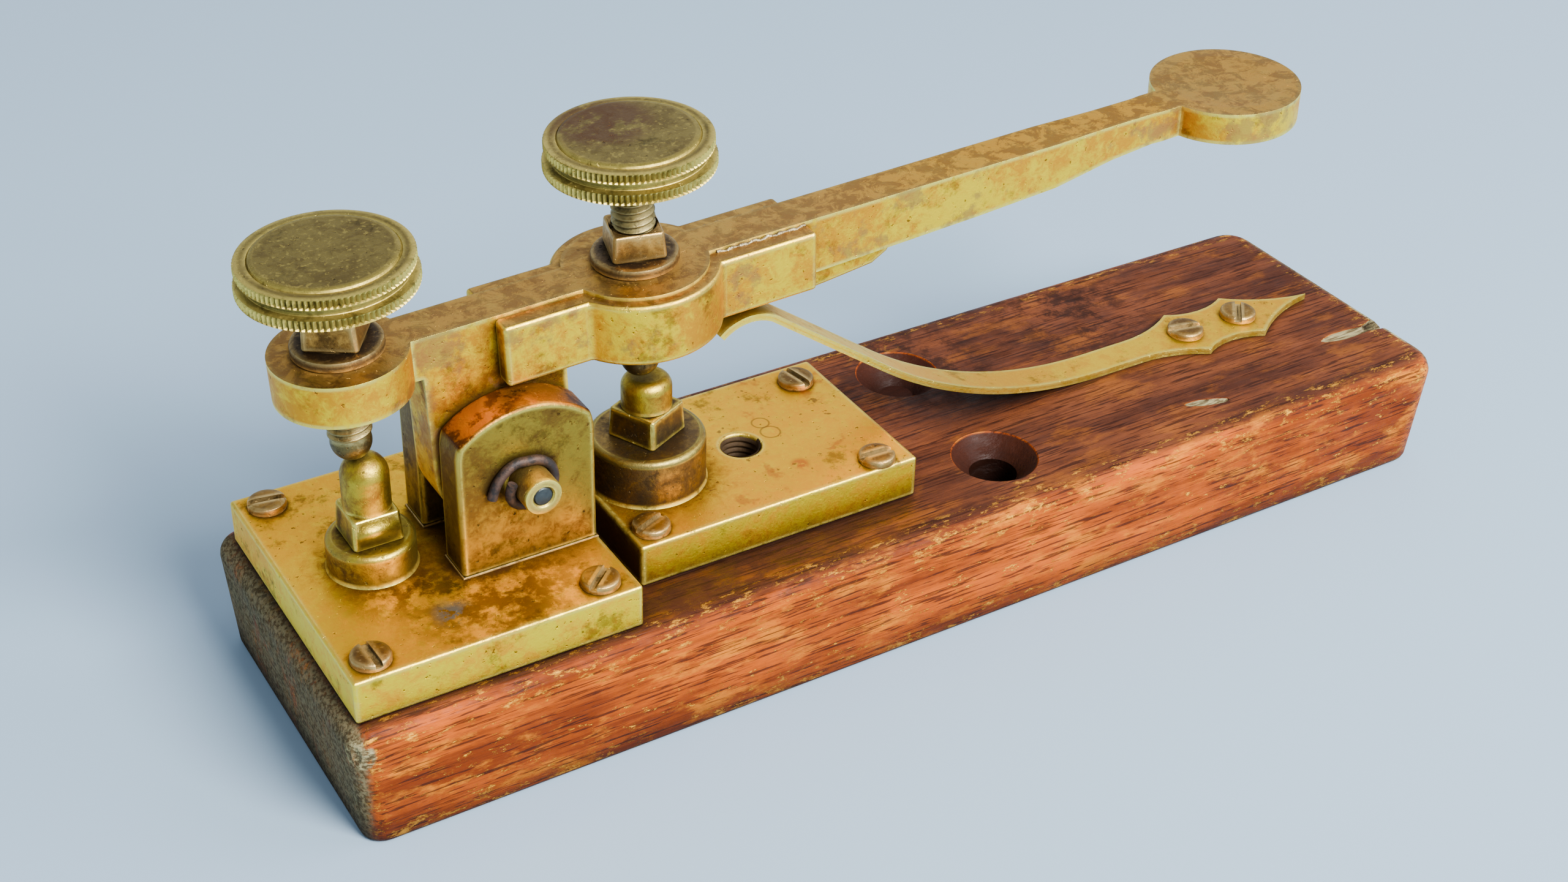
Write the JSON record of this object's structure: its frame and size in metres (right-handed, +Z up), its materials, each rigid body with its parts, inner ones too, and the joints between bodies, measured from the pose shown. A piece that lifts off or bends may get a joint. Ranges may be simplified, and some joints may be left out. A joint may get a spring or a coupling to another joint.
{
  "type": "straight morse key",
  "caption": "Straight telegraph key: brass lever on a pin between two ears, leaf spring, back-stop and contact screws, wooden base.",
  "frame": {"origin": "middle of the wooden base's underside", "axes": "+X along the base towards the finger pad, +Y towards the far side, +Z up"},
  "size_m": [0.2, 0.0546, 0.0847],
  "materials": {
    "mahogany": "polished, worn",
    "plate_brass": "aged, satin",
    "ear_brass": "aged, polished face",
    "pin_brass": "aged",
    "core_steel": "dull",
    "iron_wire": "dark, rusty",
    "post_brass": "worn bright",
    "dark_brass": "dark, tarnished",
    "spring_brass": "worn",
    "screw_brass": "tarnished",
    "lever_brass": "aged, worn edges",
    "thread_brass": "greenish tarnish",
    "knob_brass": "tarnished, worn rims"
  },
  "bodies": {
    "base": {"wood_base": "mahogany", "pivot_plate": "plate_brass", "contact_plate": "plate_brass", "near_ear": "ear_brass", "far_ear": "ear_brass", "pivot_pin": "pin_brass", "pin_core": "core_steel", "retaining_wire": "iron_wire", "back_post": "post_brass", "back_post_nut": "dark_brass", "back_post_boss": "post_brass", "front_post": "post_brass", "front_post_nut": "dark_brass", "front_post_boss": "post_brass", "leaf_spring": "spring_brass", "pivot_plate_screws": "screw_brass", "contact_plate_screws": "screw_brass", "spring_screws": "screw_brass"},
    "lever": {"lever": "lever_brass", "near_strap": "lever_brass", "far_strap": "lever_brass", "lever_rib": "lever_brass", "back_washer": "dark_brass", "front_washer": "dark_brass"},
    "back_lock_nut": {"back_lock_nut": "dark_brass"},
    "front_lock_nut": {"front_lock_nut": "dark_brass"},
    "back_screw": {"back_screw": "thread_brass"},
    "front_screw": {"front_screw": "thread_brass"},
    "back_knob": {"back_knob": "knob_brass"},
    "front_knob": {"front_knob": "knob_brass"}
  },
  "joints": [
    {"name": "lever_press", "type": "hinge", "parent": "base", "child": "lever", "pos_m": [-0.0654, -0.0005, 0.0407], "axis": [0, 1, 0], "range_deg": [0, 1.4], "stiffness_Nm_per_rad": 2.5, "springref_deg": -8.59, "deforming": ["leaf_spring"]},
    {"name": "back_screw_travel", "type": "slide", "parent": "lever", "child": "back_screw", "axis": [-0.0366, 0, 0.9993], "range_m": [0, 0.001]},
    {"name": "front_screw_travel", "type": "slide", "parent": "lever", "child": "front_screw", "axis": [-0.0366, 0, 0.9993], "range_m": [0, 0.001]},
    {"name": "back_knob_turn", "type": "hinge", "parent": "back_screw", "child": "back_knob", "pos_m": [-0.0876, -0.0005, 0.07291], "axis": [-0.0366, 0, 0.9993], "range_deg": [0, 360]},
    {"name": "front_knob_turn", "type": "hinge", "parent": "front_screw", "child": "front_knob", "pos_m": [-0.04351, -0.0005, 0.07953], "axis": [-0.0366, 0, 0.9993], "range_deg": [0, 360]},
    {"name": "back_lock_nut_turn", "type": "hinge", "parent": "lever", "child": "back_lock_nut", "pos_m": [-0.08729, -0.0005, 0.06461], "axis": [-0.0366, 0, 0.9993], "range_deg": [0, 90]},
    {"name": "front_lock_nut_turn", "type": "hinge", "parent": "lever", "child": "front_lock_nut", "pos_m": [-0.04302, -0.0005, 0.06624], "axis": [-0.0366, 0, 0.9993], "range_deg": [0, 90]}
  ],
  "couplings": [
    {"joint": "back_knob_turn", "follows": "back_screw_travel", "rad_per_m": 6283},
    {"joint": "front_knob_turn", "follows": "front_screw_travel", "rad_per_m": 6283}
  ]
}
